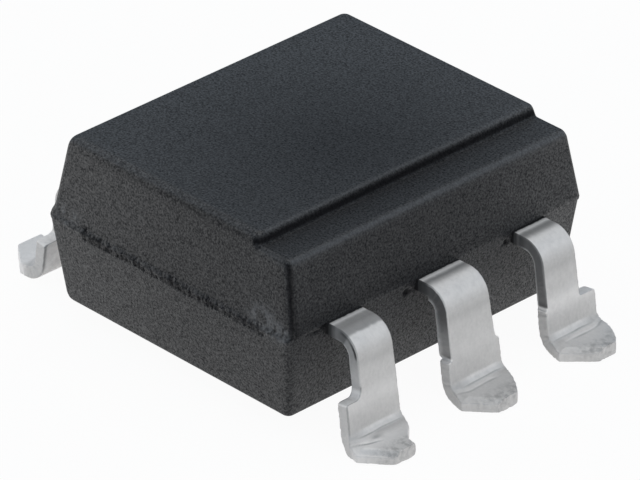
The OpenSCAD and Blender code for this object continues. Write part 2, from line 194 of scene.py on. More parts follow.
class LeadSettings(bpy.types.PropertyGroup):
    """Sizes and colours of the formed leads."""

    pitch: length("Pitch", "Distance from lead to lead along a row", 2.54)
    thickness: length("Thickness", "Thickness of the lead frame", 0.25)
    span: length("Span", "Distance from toe to toe across the rows", 10.16)
    exit_run: length("Exit run", "Flat run to the knee, from half the body's width", 0.345)
    knee_radius: length("Knee radius", "Inside radius of the knee", 0.25)
    heel_radius: length("Heel radius", "Inside radius of the heel", 0.16)
    shin_lean: angle("Shin lean", "Outward lean of the shin", 8)
    outer_shoulder: length("Outer shoulder", "Height of an end lead's outer shoulder above the soles", 0.88)
    inner_shoulder: length("Inner shoulder", "Height of the other shoulders above the soles", 0.81)
    tab_radius: length("Tab corner radius", "Rounding of a tab's upper corner", 0.05)
    foot_flare: length("Foot flare", "Widening of the foot on its clipped side", 0.1)
    toe_clip: length("Toe clip", "Length of the straight clip at the toe", 0.52)
    long_taper: length("Long taper", "Length of the curve on the foot's other side", 0.86)
    long_power: number("Long taper's power", "How late the long curve turns in", 2.1)
    nick_place: length("Nick place", "Distance from the toe to the nick in a foot's edge", 0.25)
    nick_width: length("Nick width", "Width of the nick in a foot's edge", 0.20)
    toe_width: length("Toe width", "Width of the toe", 0.45)
    sheared_radius: length("Sheared edge radius", "Rounding of the strip's sheared edges", 0.03)
    mid_strip: length("Middle strip", "Half width of a middle lead above its shoulders", 0.535)
    mid_shoulder: length("Middle shoulder", "Shoulder on each side of a middle lead", 0.095)
    end_strip_in: length("End strip in", "Reach of an end lead's strip towards the middle lead", 0.635)
    end_strip_out: length("End strip out", "Reach of an end lead's strip away from the middle lead", 0.225)
    end_shoulder_in: length("End shoulder in", "Shoulder on the side of the middle lead", 0.025)
    end_shoulder_out: length("End shoulder out", "Shoulder on the outer side", 0.375)
    pad_gap: length("Pad gap", "Gap between the two pads inside the body", 0.8)
    post_gap: length("Post gap", "Gap between a pad and the post beside it", 0.25)
    emitter_pad_length: length("Emitter pad length", "Length of its pad across the rows", 1.15)
    emitter_pad_width: length("Emitter pad width", "Width of its pad along the rows", 1.2)
    detector_pad_length: length("Detector pad length", "Length of its pad across the rows", 1.5)
    detector_pad_width: length("Detector pad width", "Width of its pad along the rows", 1.7)
    post_width: length("Post width", "Width of a bond post", 0.5)
    emitter_inset: length("Emitter inset", "Distance of the emitter from its pad's inner edge", 0.38)
    anchor_depth: length("Anchor depth", "Depth of the unconnected lead inside the body", 1.25)
    anchor_length: length("Anchor length", "Length of its anchor bar across the rows", 0.35)
    anchor_reach: length("Anchor reach", "Reach of the anchor bar past the strip", 0.3)
    dull: colour("Tin dull", "Darker tone of the tin plating", (0.545, 0.526, 0.510))
    bright: colour("Tin bright", "Lighter tone of the tin plating", (0.70, 0.677, 0.655))
    # Colour of the darker bands, creases and toe patches, and of the painted shadow under the knee
    stained: colour("Stained tin", "Tone of the dull bands and patches", (0.16, 0.16, 0.16))
    # Colour of the painted highlights on the tin, and of the tool facets' burnish
    burnished: colour("Burnished tin", "Tone of the tin that a tool has rubbed", (0.94, 0.91, 0.885))
    # Colour of the sheared edges, for unplated metal and for painted shade
    bare: colour("Bare edge", "Tone of the sheared edges above the shoulders", (0.042, 0.042, 0.043))
    flash: colour("Epoxy flash", "Tone of the thin rim of epoxy at the body", (0.012, 0.012, 0.013))


class StageSettings(bpy.types.PropertyGroup):
    """Camera, lamps and floor."""

    azimuth: angle("Azimuth", "Turn of the camera round the object, from the near end", 46.193)
    elevation: angle("Elevation", "Height of the camera above the horizon", 30.096)
    distance: length("Distance", "Distance of the camera from its target", 133.53)
    target: place("Target", "Point that the camera looks at", (0.1714, -0.0072, 1.4478))
    lens: number("Lens", "Focal length of the camera in millimetres", 410.4)
    floor_radius: length("Floor radius", "Radius of the sheet of paper under the part", 45)
    floor_gap: length("Floor gap", "Drop from the soles to the sheet of paper", 0.002)
    room_light: number("Room light", "Level of the even light from the room", 0.36)
    room_tint: colour("Room tint", "Colour of the even light from the room", (0.64, 0.81, 1.0))
    top_light: number("Top light", "Power of the softbox overhead, in watts", 0.012)
    left_light: number("Left light", "Power of the softbox beside the near end, in watts", 0.0072)
    right_light: number("Right light", "Power of the softbox beside the first lead's row, in watts", 0.007)
    far_light: number("Far light", "Power of the softbox beyond the far end, in watts", 0.002)
    lamp_tint: colour("Lamp tint", "Colour of the softboxes", (1.0, 0.96, 0.91))


def own_properties(group):
    """Name and rule of each property that a settings group adds."""
    rules = group.bl_rna.properties.items()
    return [(name, rule) for name, rule in rules if name not in {"rna_type", "name"}]


def in_millimetres(group):
    """A settings group's values, with its lengths and places in millimetres."""
    values = SimpleNamespace()
    for name, rule in own_properties(group):
        value = getattr(group, name)
        setattr(values, name, value / MM if rule.unit == "LENGTH" else value)
    return values


def value_noise(u, v, seed, cells=64):
    """Smooth noise from 0 to 1: random values at whole numbers of u and v, eased between them both ways."""
    table = np.random.default_rng(seed).random((cells, cells))
    u0, v0 = np.floor(u).astype(int), np.floor(v).astype(int)
    fu, fv = u - u0, v - v0
    fu, fv = fu * fu * (3 - 2 * fu), fv * fv * (3 - 2 * fv)
    a, b = table[u0 % cells, v0 % cells], table[(u0 + 1) % cells, v0 % cells]
    c, d = table[u0 % cells, (v0 + 1) % cells], table[(u0 + 1) % cells, (v0 + 1) % cells]
    return (a * (1 - fu) + b * fu) * (1 - fv) + (c * (1 - fu) + d * fu) * fv


def smooth_step(x, low, high):
    """Eased rise from 0 at low to 1 at high."""
    t = np.clip((x - low) / (high - low), 0, 1)
    return t * t * (3 - 2 * t)


def bell(x, middle, width):
    """Bell curve of 1 at its middle, which falls to about a third one width away from it."""
    return np.exp(-((x - middle) / width) ** 2)


def path_run(points):
    """Distance along a path from its first point, at each of its points."""
    return np.concatenate([[0], np.cumsum(np.linalg.norm(np.diff(points, axis=0), axis=1))])


def rounded_path(points, radii, steps):
    """Open path through points, whose inner corners are arcs tangent to the two edges that meet there."""
    points = np.asarray(points, float)
    parts = [points[:1]]
    for before, corner, after, radius in zip(points, points[1:], points[2:], radii):
        u = (before - corner) / np.linalg.norm(before - corner)
        v = (after - corner) / np.linalg.norm(after - corner)
        half = math.acos(float(u @ v)) / 2
        centre = corner + (u + v) / np.linalg.norm(u + v) * radius / math.sin(half)
        start = corner + u * radius / math.tan(half) - centre
        turn = (math.pi - 2 * half) * -np.sign(u[0] * v[1] - u[1] * v[0])
        turned = turn * np.linspace(0, 1, steps + 1)[:, None]
        parts.append(centre + start * np.cos(turned) + np.array([-start[1], start[0]]) * np.sin(turned))
    return np.concatenate(parts + [points[-1:]])


def drafted_half(height, half, lean, rise, radius):
    """Half width of a drafted side at a height from the parting line: a straight lean, then an arc tangent
    to the side and to the face at the full rise."""
    tilt = math.atan2(lean, rise)
    centre_z = rise - radius
    centre_x = half - centre_z * math.tan(tilt) - radius / math.cos(tilt)
    arc = centre_x + np.sqrt(np.clip(radius ** 2 - (height - centre_z) ** 2, 0, None))
    return np.where(height < centre_z + radius * math.sin(tilt), half - lean * height / rise, arc)


def arc_heights(lean, rise, radius, steps):
    """Heights along the edge's arc, at equal angles from the drafted side to the flat face."""
    turned = np.linspace(math.atan2(lean, rise), math.pi / 2, steps + 1)
    return rise - radius + radius * np.sin(turned)


def ring_columns(side_steps, corner_steps):
    """Stations round a drafted box, counter-clockwise from above: which side each belongs to, with the
    corner after it, its share along that side and round that corner, and the outward direction there.
    Sides are 0 +X, 1 +Y, 2 -X and 3 -Y."""
    side, share, corner = [], [], []
    for index, steps in enumerate(side_steps):
        side += [np.full(steps + corner_steps, index)]
        share += [np.linspace(0, 1, steps), np.ones(corner_steps)]
        corner += [np.zeros(steps), np.linspace(0, 1, corner_steps + 2)[1:-1]]
    side, share, corner = (np.concatenate(part) for part in (side, share, corner))
    heading = (side + corner) * math.pi / 2
    return SimpleNamespace(side=side, share=share, corner=corner,
                           out_x=np.cos(heading), out_y=np.sin(heading))


def drafted_rings(columns, x_pos, z_pos, z_end, x_neg, z_neg, y_near, y_far, radius):
    """Rings of a drafted box. A ring's +X side lies at (x_pos, z_pos) and its -X side at (x_neg, z_neg);
    along the ends both run evenly from one side to the other, and Y is the near or far end's reach at that
    height. The four corners are quarter arcs of the radius in plan, and those of the +X side also fall on
    a quarter arc to z_end."""
    side, share, corner = columns.side, columns.share, columns.corner
    none, whole = np.zeros_like(share), np.ones_like(share)
    x_pos, z_pos, z_end, x_neg, z_neg = (a[:, None] for a in (x_pos, z_pos, z_end, x_neg, z_neg))
    round_end = np.choose(side, [corner, whole, whole, 1 - corner])
    z_pos = z_pos + (z_end - z_pos) * (1 - np.cos(round_end * math.pi / 2))
    towards_neg = np.choose(side, [none, share, whole, 1 - share])
    towards_far = np.choose(side, [share, whole, 1 - share, none])
    z = z_pos + (z_neg - z_pos) * towards_neg
    x = (x_pos - radius) * (1 - towards_neg) + (x_neg + radius) * towards_neg + radius * columns.out_x
    y = (radius - y_near(z)) * (1 - towards_far) + (y_far(z) - radius) * towards_far + radius * columns.out_y
    return np.stack(np.broadcast_arrays(x, y, z), axis=-1)


def tube_faces(rows, columns, flipped=False):
    """Quads between successive rings of a closed grid, and one face on each end."""
    index = np.arange(rows * columns).reshape(rows, columns)
    following = np.roll(index, -1, axis=1)
    quads = np.stack([index[:-1], following[:-1], following[1:], index[1:]], axis=-1).reshape(-1, 4)
    caps = [index[0][::-1], index[-1]]
    if flipped:
        quads, caps = quads[:, ::-1], [cap[::-1] for cap in caps]
    return quads, caps


def piece_from_rings(name, rings, material, flipped=False, sharp_angle=math.radians(38)):
    """An object whose skin joins the rings, given in millimetres, in order and closes both ends."""
    quads, caps = tube_faces(*rings.shape[:2], flipped)
    mesh = bpy.data.meshes.new(name)
    mesh.from_pydata(rings.reshape(-1, 3) * MM, [], quads.tolist() + [cap.tolist() for cap in caps])
    mesh.polygons.foreach_set("use_smooth", np.ones(len(mesh.polygons), bool))
    mesh.set_sharp_from_angle(angle=sharp_angle)
    mesh.validate()
    mesh.materials.append(material)
    piece = bpy.data.objects.new(name, mesh)
    bpy.context.scene.collection.objects.link(piece)
    return piece


def point_attributes(piece, **attributes):
    """Numbers for each vertex that the material can read, by name."""
    for name, values in attributes.items():
        attribute = piece.data.attributes.new(name, "FLOAT", "POINT")
        attribute.data.foreach_set("value", np.ascontiguousarray(values, np.float32).ravel())


class Shader:
    """A material with a Principled shader, and short ways to add and link the nodes in front of it."""

    def __init__(self, name):
        self.material = bpy.data.materials.new(name)
        self.material.use_nodes = True
        self.nodes, self.links = self.material.node_tree.nodes, self.material.node_tree.links
        self.surface = self.nodes["Principled BSDF"]
        self.place = self.nodes.new("ShaderNodeTexCoord").outputs["Object"]

    def set(self, **values):
        """Constant values on the shader's own sockets; an underscore stands for a space."""
        for socket, value in values.items():
            self.surface.inputs[socket.replace("_", " ")].default_value = value

    def join(self, **sockets):
        """Links node outputs to the shader's sockets; an underscore stands for a space."""
        for socket, output in sockets.items():
            self.links.new(output, self.surface.inputs[socket.replace("_", " ")])

    def node(self, kind, inputs, **settings):
        """A node with its settings, and its inputs set or linked by name or number."""
        made = self.nodes.new(kind)
        for key, value in settings.items():
            setattr(made, key, value)
        for key, value in inputs.items():
            if isinstance(value, bpy.types.NodeSocket):
                self.links.new(value, made.inputs[key])
            else:
                made.inputs[key].default_value = value
        return made

    def noise(self, size, detail=3.0, roughness=0.55, place=None):
        """Fractal noise whose largest features have that size in millimetres."""
        inputs = {"Vector": place or self.place, "Scale": 1 / (size * MM), "Detail": detail,
                  "Roughness": roughness}
        return self.node("ShaderNodeTexNoise", inputs).outputs["Fac"]

    def ramp(self, value, low, high, out_low, out_high):
        """Value taken from one range to another, held at the ends."""
        inputs = {"Value": value, "From Min": low, "From Max": high, "To Min": out_low, "To Max": out_high}
        return self.node("ShaderNodeMapRange", inputs).outputs["Result"]

    def spread(self, noise, out_low, out_high):
        """Noise taken from the range of most of its values to another."""
        return self.ramp(noise, NOISE_LOW, NOISE_HIGH, out_low, out_high)

    def math(self, operation, a, b):
        """Two values put together."""
        return self.node("ShaderNodeMath", {0: a, 1: b}, operation=operation).outputs["Value"]

    def blend(self, factor, first, second):
        """Colour between two colours, each a socket or three numbers."""
        ends = [end if isinstance(end, bpy.types.NodeSocket) else (*end, 1.0) for end in (first, second)]
        return self.node("ShaderNodeMix", {0: factor, 6: ends[0], 7: ends[1]}, data_type="RGBA").outputs[2]

    def attribute(self, name):
        """A number that the mesh carries at each vertex."""
        return self.node("ShaderNodeAttribute", {}, attribute_name=name).outputs["Fac"]

    def fall_off(self, place, low, high, out_low, out_high):
        """Value that goes from one level to another between two distances in millimetres from a place."""
        inputs = {0: self.place, 1: place * MM}
        away = self.node("ShaderNodeVectorMath", inputs, operation="DISTANCE").outputs["Value"]
        return self.ramp(away, low * MM, high * MM, out_low, out_high)

    def bump(self, height, depth, under=None):
        """Normal of a relief of that depth in millimetres, laid over another."""
        inputs = {"Height": height, "Distance": depth * MM, "Strength": 1.0}
        if under is not None:
            inputs["Normal"] = under
        return self.node("ShaderNodeBump", inputs).outputs["Normal"]


def moulding_epoxy(s):
    """Filled black epoxy: glassy grains in a spark-eroded skin, a sheen dimmed with painted shade towards the
    middle of the top and towards the near upright edge, painted shade in hollows and corners, painted
    highlights on the outer edges beside real scuffed patches, and rough dark broken flash."""
    shader = Shader("moulding_epoxy")
    scar, shade, worn = (shader.attribute(name) for name in ("scar", "shade", "worn"))
    grain = shader.noise(0.040, detail=2, roughness=0.7)
    cloud = shader.noise(0.9, detail=2)
    # Painted shade and broken flash both turn the colour towards the dark scar tone and dim the sheen
    covered = shader.math("MAXIMUM", shade, scar)
    # Painted shade: the sheen falls off towards the top's middle and towards the near upright edge
    top_sheen = shader.fall_off(s.dull_middle, 0.5, 3.8, 0.84, 1.62)
    edge_sheen = shader.fall_off(s.dull_corner, 0.3, 7.5, 0.70, 1.18)
    sheen = shader.math("MULTIPLY", top_sheen, edge_sheen)
    sheen = shader.math("MULTIPLY", sheen, shader.ramp(covered, 0.0, 1.0, 1.0, 0.1))
    tone = shader.math("ADD", shader.spread(grain, 0.0, 0.8), shader.spread(cloud, 0.0, 0.2))
    # Painted highlights on the rims and real scuffs lighten the skin here
    skin = shader.blend(worn, shader.blend(tone, s.dark, s.light), s.worn)
    glint = shader.ramp(grain, 0.32, 0.68, 0.12, 0.88)
    shader.join(Base_Color=shader.blend(covered, skin, s.scar))
    shader.join(Specular_IOR_Level=shader.math("MULTIPLY", glint, sheen))
    shader.join(Roughness=shader.spread(grain, 0.62, 0.46))
    shader.join(Normal=shader.bump(grain, 0.005, under=shader.bump(cloud, 0.004)))
    return shader.material


def tin_plating(s):
    """Matt tin over a copper alloy: soft mottling, faint lines along the strip and a fine uneven skin,
    lighter under painted highlights and on the tool facets. Bands beside the body, creases, a painted shadow
    under the knee and ragged patches are darker, the sheared edges darker still from unplated metal and
    painted shade, and the rim of epoxy at the body is black."""
    shader = Shader("tin_plating")
    strip = shader.node("ShaderNodeUVMap", {}, uv_map="strip").outputs["UV"]
    drawn = shader.node("ShaderNodeMapping", {"Vector": strip, "Scale": (1.0, 6.0, 1.0)}).outputs["Vector"]
    mottle = shader.noise(0.3, detail=4, roughness=0.65)
    lines = shader.noise(0.3, place=drawn)
    flake = shader.noise(0.11, roughness=0.6)
    skin = shader.noise(0.06)
    tone = shader.math("ADD", shader.spread(mottle, 0.0, 0.45), shader.spread(lines, 0.0, 0.2))
    tone = shader.math("ADD", tone, shader.spread(skin, 0.0, 0.35))
    # Painted highlights, with the tool facets' burnish, lighten the tin here
    rubbed = shader.math("MULTIPLY", shader.attribute("polish"), shader.ramp(flake, 0.25, 0.6, 0.6, 1.0))
    patch = shader.math("MULTIPLY", shader.attribute("patchy"), shader.ramp(flake, 0.42, 0.62, 0.0, 1.0))
    stain = shader.math("MAXIMUM", patch, shader.attribute("stain"))
    plate = shader.blend(rubbed, shader.blend(tone, s.dull, s.bright), s.burnished)
    plate = shader.blend(stain, plate, s.stained)
    # Unplated metal and painted shade darken the sheared edges here
    plate = shader.blend(shader.attribute("bare"), plate, s.bare)
    shader.set(Metallic=0.3)
    shader.join(Base_Color=shader.blend(shader.attribute("flash"), plate, s.flash))
    shader.join(Roughness=shader.spread(mottle, 0.5, 0.65))
    shader.join(Normal=shader.bump(skin, 0.005, under=shader.bump(lines, 0.003)))
    return shader.material


def inner_finish(name, first, second, grain, metallic, roughness):
    """Finish of a piece sealed inside the body: two tones in a fine grain, with a little relief."""
    shader = Shader(name)
    tone = shader.noise(grain)
    shader.set(Metallic=metallic)
    shader.join(Base_Color=shader.blend(shader.ramp(tone, 0.35, 0.65, 0.0, 1.0), first, second))
    shader.join(Roughness=shader.spread(tone, roughness - 0.08, roughness + 0.08))
    shader.join(Normal=shader.bump(tone, grain * 0.05))
    return shader


def lower_half(s, columns):
    """Rings of the lower half from its underside up to the parting line: a drafted box whose near end has
    a sloping rim. The rings lie closer in the zone below the parting line where the flash is broken."""
    half_x, half_y, rise, lean = s.body_width / 2, s.body_length / 2, s.lower, s.lower_side_lean

    def end(z):
        return drafted_half(-z, half_y, s.lower_end_lean, rise, s.bottom_radius)

    def near_end(z):
        return end(z) - s.near_proud * np.clip(1 + z / s.rim_chamfer, 0, 1)

    def far_end(z):
        return end(z) + s.near_proud - s.far_proud

    zone = 0.4
    depth = np.concatenate([arc_heights(lean, rise, s.bottom_radius, 7),
                            arc_heights(lean, rise, s.bottom_back_radius, 9)[:-1],
                            np.linspace(rise - s.bottom_back_radius, zone + 0.02, 14)[1:],
                            np.linspace(zone, 0, 30), [s.rim_chamfer]])
    depth = np.sort(depth)[::-1]
    front = drafted_half(depth, half_x, lean, rise, s.bottom_radius)
    back = drafted_half(depth, half_x, lean, rise, s.bottom_back_radius)
    return drafted_rings(columns, front, -depth, -depth, -back, -depth, near_end, far_end, s.corner_radius)


def upper_half(s, columns, arc_steps=9):
    """Rings of the upper half from the parting line to the rim of the top face: a drafted box whose +X
    side follows the ledge and the step's wall, while its -X side rises to its own edge in the same number
    of rings."""
    half_x, half_y, rise = s.body_width / 2, s.body_length / 2, s.upper

    def near_end(z):
        return drafted_half(z, half_y, s.upper_end_lean, rise, s.top_near_radius)

    def far_end(z):
        return drafted_half(z, half_y, s.upper_end_lean, rise, s.top_radius)

    ledge = rise - s.step_drop
    ledge_x = half_x - s.upper_side_lean * ledge / rise
    foot_x = ledge_x - s.ledge_width
    side = np.array([half_x, 0]) + np.linspace(0, 0.88, 24)[:, None] * np.array([ledge_x - half_x, ledge])
    turns = [side[-1], (ledge_x, ledge), (foot_x, ledge), (foot_x - s.step_lean, rise), (0, rise)]
    bends = rounded_path(turns, [s.ledge_radius, s.step_radius, s.step_radius], arc_steps)[1:-1]
    rim = arc_steps + 1
    wall = bends[-rim - 1] + np.linspace(0, 1, 6)[1:-1, None] * (bends[-rim] - bends[-rim - 1])
    path = np.concatenate([side, bends[:-rim], wall, bends[-rim:]])
    run = path_run(path)
    edge = arc_heights(s.upper_end_lean, rise, s.top_near_radius, arc_steps)
    z_neg = np.concatenate([edge[0] * run[:-rim] / run[-rim], edge])
    z_end = np.interp(path[:, 1], [0, ledge, rise], [0, ledge - s.ledge_end_drop, rise])
    back = drafted_half(z_neg, half_x, s.upper_side_lean, rise, s.top_radius)
    return drafted_rings(columns, *path.T, z_end, -back, z_neg, near_end, far_end, s.corner_radius)


def moulding_rings(s, columns, inner_share=0.035):
    """Rings of the whole moulding: the round mark of the ejector pin, the two halves, and a last ring a
    small share of the way in from the rim of the top face, where the painted highlight of the rim ends."""
    lower, upper = lower_half(s, columns), upper_half(s, columns)
    lower[..., 1] -= s.near_proud / 2
    upper[..., 1] += s.near_proud / 2
    bearing = np.arctan2(lower[0, :, 1], lower[0, :, 0])
    circle = np.stack([np.cos(bearing), np.sin(bearing), 0 * bearing], axis=-1) * s.ejector_diameter / 2
    mark = np.stack([circle + (0, 0, s.ejector_depth - s.lower), circle - (0, 0, s.lower)])
    inside = upper[-1:] + inner_share * (upper[-1].mean(axis=0) - upper[-1:])
    return np.concatenate([mark, lower, upper, inside]) + (0, 0, PARTING)


def scar_depth_and_mask(rings, columns, s):
    """Broken flash on the near end: a dark band over a nearly straight lower edge, whose upper edge is a
    row of fine teeth with a hook at one end and a blot at the other, cut by upright streaks of noise and
    fainter towards the blot. Gives the depth and how much of the band shows at each vertex."""
    x, drop = rings[..., 0] - s.scar_place, PARTING - rings[..., 2]
    half = s.scar_length / 2
    lower_edge = s.scar_height * (0.80 + 0.16 * value_noise(x / 0.3, x * 0, 3))
    teeth = (value_noise(x / 0.045, x * 0, 7) + value_noise(x / 0.2, x * 0, 8)) / 2
    upper_edge = s.scar_height * (0.62 * teeth - 0.2)
    upper_edge = upper_edge - 0.16 * bell(x, 0.08 - half, 0.05) - 0.03 * bell(x, half - 0.2, 0.14)
    ends = half - np.abs(x) + 0.16 * (value_noise(x / 0.1, drop / 0.1, 4) - 0.5)
    band = smooth_step(drop - upper_edge, -0.03, 0.06) * smooth_step(lower_edge - drop, 0, 0.05)
    band = band * smooth_step(ends, 0, 0.05) * (columns.side == NEAR_END)
    streaks = 0.6 * value_noise(x / 0.03, drop / 0.11, 5) + 0.4 * value_noise(x / 0.07, drop / 0.05, 6)
    streaks = smooth_step(streaks, 0.2, 0.7)
    faded = 0.95 - 0.22 * smooth_step(x, 0.6, 2.4)
    return s.scar_depth * band * streaks, faded * band * (0.55 + 0.45 * streaks)


def exit_pits(rings, columns):
    """Dark pits beside the leads at the parting line, each a round blot with a ragged edge."""
    y, drop = rings[..., 1], PARTING - rings[..., 2]
    rough = 0.6 * value_noise(y / 0.06, drop / 0.05, 13) - 0.3
    pits = 0.0
    for middle, wide, level, tall, strength in PITS:
        away = ((y - middle) / wide) ** 2 + ((drop - level) / tall) ** 2
        pits = np.maximum(pits, strength * (1 - smooth_step(away + rough, 0.4, 1.3)))
    return pits * (columns.side == FIRST_SIDE) * (rings[..., 0] > 0)


def flash_lip(rings, reach):
    """Lip of flash at the near corner of the far row's side: a bell round the corner in plan, and another
    across the parting line, cut off below it."""
    x, y, z = np.moveaxis(rings, -1, 0)
    rise = z - PARTING - 0.01
    corner = bell(x, x.min(), 0.3) * bell(y, y.min(), 0.3)
    return reach * corner * bell(rise, 0, 0.12) * smooth_step(rise, -0.11, -0.03)


def step_marks(s):
    """Heights of the top face and of the ledge, and the X of the ledge's rim and of the step's foot."""
    top = PARTING + s.upper
    ledge_x = s.body_width / 2 - s.upper_side_lean * (1 - s.step_drop / s.upper)
    return top, top - s.step_drop, ledge_x, ledge_x - s.ledge_width


def near_scuffs(rings, columns):
    """Rubbed patches on the near end: bells broken up by noise, which keep off the upright edge."""
    x, _, z = np.moveaxis(rings, -1, 0)
    rough = 0.6 * value_noise(x / 0.05, z / 0.05, 11) + 0.4 * value_noise(x / 0.13, z / 0.13, 12)
    scuff = sum(bell(x, middle, wide) * bell(z, PARTING + level, tall)
                for middle, wide, level, tall in SCUFFS)
    scuff = 1.4 * scuff * smooth_step(rough, 0.35, 0.65) * (columns.side == NEAR_END)
    return scuff * (1 - 0.8 * smooth_step(columns.corner, 0, 0.3))


def worn_tone(rings, columns, s, scuff):
    """How much each vertex is lightened: painted highlights on the rims of the step, the ledge, the ledge's
    near end and the top face's near edge, and real wear in the scuffed patches. The last ring, inside the top
    face's rim, gets none."""
    x, _, z = np.moveaxis(rings, -1, 0)
    first, near = columns.side == FIRST_SIDE, columns.side == NEAR_END
    top, ledge, ledge_x, wall_x = step_marks(s)
    # Painted highlights along the rims of the step, the ledge and the top's near edge
    step_rim = bell(z, top, 0.03) * bell(x, wall_x - s.step_lean + 0.03, 0.05) * first
    ledge_rim = 1.15 * bell(x, ledge_x - 0.022, 0.05) * bell(z, ledge - 0.036, 0.12) * first
    ledge_end = 0.6 * bell(z, ledge - 0.07, 0.06) * near * (x > wall_x)
    near_rim = 0.15 * bell(z, top - 0.045, 0.025) * near * (x < wall_x - 0.2)
    worn = np.clip(step_rim + ledge_rim + ledge_end + scuff + near_rim, 0, 1)
    worn[-1] = 0
    return worn


def shaded_tone(rings, columns, s, scuff):
    """How much painted shade each vertex takes. Strongest of: the step's wall; the near upright edge, which
    fades out on both sides of it and is faint below the parting line; the first side's upper flank; the
    near end, most at its middle and under its top edge. Added to it: the first side under the parting
    line, and the ledge towards the wall. All below the top face is a little darker, and scuffed patches
    are lighter."""
    side, corner = columns.side, columns.corner
    x, y, z = np.moveaxis(rings, -1, 0)
    first, near, front = side == FIRST_SIDE, side == NEAR_END, (side == FIRST_SIDE) * (x > 0)
    top, ledge, ledge_x, wall_x = step_marks(s)
    near_y, outer_x = y.min(axis=1, keepdims=True), x.max(axis=1, keepdims=True)

    # Painted shade on the step's wall, the near upright edge, the flank, the near end and the ledge
    wall = smooth_step(z - ledge, 0.004, 0.04) * (1 - smooth_step(z - top, -0.11, -0.018))
    wall = wall * (x > wall_x - s.step_lean - 0.05) * (first | (y < near_y + 0.2)) * (x > 0)
    turned = smooth_step(corner, 0.1, 0.6) * (1 - 0.35 * smooth_step(corner, 0.65, 1.0)) * near
    before = 0.36 * np.exp((x - outer_x + s.corner_radius) / 0.12) * near * (corner == 0)
    beside = 0.75 * np.exp((near_y - y + s.corner_radius) / 0.09) * front * (corner == 0)
    upright = np.maximum(np.maximum(0.93 * turned, before), beside)
    upright = upright * np.where(z > PARTING - 0.03, 1.0, 0.3) * (z < ledge - 0.05) * (x > ledge_x - 0.6)
    flank = (0.33 - 0.06 * smooth_step(np.abs(y + 0.3), 1.0, 3.4)) * front
    flank = flank * smooth_step(z, PARTING, PARTING + 0.1) * smooth_step(ledge - z, 0.03, 0.12)
    below = smooth_step(top - z, 0.05, 0.09)
    end = ((0.09 + 0.12 * bell(x, 0.4, 1.9)) * below + 0.08 * bell(z, PARTING + 0.04, 0.06)) * near
    brow = 0.3 * bell(z, top - 0.125, 0.055) * near * (x < wall_x)
    under = 0.25 * bell(z, PARTING - 0.05, 0.3) * (1 - smooth_step(y, -1.0, 2.5)) * front
    hollow = 0.36 * (1 - (x - wall_x) / s.ledge_width) * (1 - 0.25 * smooth_step(y, 0, 3.0))
    hollow = hollow * (x > wall_x - 0.02) * (x < ledge_x) * (np.abs(z - ledge) < 0.02) * first

    shade = np.maximum(np.maximum(wall, upright), np.maximum(flank, end + brow)) + under + hollow
    shade = 1 - (1 - np.clip(shade, 0, 1)) * (1 - 0.17 * below)
    return shade * (1 - 0.7 * np.clip(scuff, 0, 1))


class OPTO_OT_moulding(bpy.types.Operator):
    """Make the moulded body with its parting line, step and broken flash"""

    bl_idname = "opto.moulding"
    bl_label = "Moulding"

    def execute(self, context):
        s = in_millimetres(context.scene.opto_moulding)
        columns = ring_columns(side_steps=(150, 40, 40, 330), corner_steps=7)
        rings = moulding_rings(s, columns)
        x, y, z = np.moveaxis(rings, -1, 0)
        depth, mask = scar_depth_and_mask(rings, columns, s)
        pits = exit_pits(rings, columns)
        scuff = near_scuffs(rings, columns)
        shade, worn = shaded_tone(rings, columns, s, scuff), worn_tone(rings, columns, s, scuff)
        depth = depth + s.pit_depth * pits - flash_lip(rings, s.lip_reach)
        skew = s.skew * smooth_step(y, 0, s.body_length / 2) * (x > 0) * (z > PARTING)
        dented_x = x + BODY_SHIFT - depth * columns.out_x + skew
        dented_y = np.maximum(y - depth * columns.out_y, y.min())
        piece = piece_from_rings("moulding", np.stack([dented_x, dented_y, z], axis=-1), moulding_epoxy(s))
        point_attributes(piece, scar=np.maximum(mask, pits), shade=shade, worn=worn)
        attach(piece, "root")
        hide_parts("body")
        return {"FINISHED"}


def strip_section(s, face_steps=30, corner_steps=3, sheared_steps=7):
    """Closed section of a flat strip with rounded edges, counter-clockwise when seen against the strip's
    run. For each station it gives its share of the way from the strip's low edge to its high edge, its
    inset from that edge, its height from the middle of the strip, and where it belongs: 1 on the outer
    face, -1 on the inner face, 0 between. Last is the height at which the straight part of the sheared
    edges ends."""
    radius, flat = s.sheared_radius, s.thickness / 2
    quarter = np.linspace(0, math.pi / 2, corner_steps + 2)[1:-1]
    turn_in, turn_out = radius * (1 - np.sin(quarter)), flat - radius * (1 - np.cos(quarter))
    edge_in = np.concatenate([turn_in, np.zeros(sheared_steps), turn_in[::-1]])
    straight = np.linspace(flat - radius, radius - flat, sheared_steps)
    edge_height = np.concatenate([turn_out, straight, -turn_out[::-1]])
    face, face_height = np.linspace(0, 1, face_steps), np.full(face_steps, flat)
    none, whole = np.zeros_like(edge_in), np.ones_like(edge_in)
    return SimpleNamespace(
        share=np.concatenate([face, whole, face[::-1], none]),
        inset=np.concatenate([radius * (1 - 2 * face), -edge_in, radius * (1 - 2 * face[::-1]), edge_in]),
        height=np.concatenate([face_height, edge_height, -face_height, -edge_height]),
        belongs=np.concatenate([np.ones(face_steps), none, -np.ones(face_steps), none]),
        last=radius - flat)


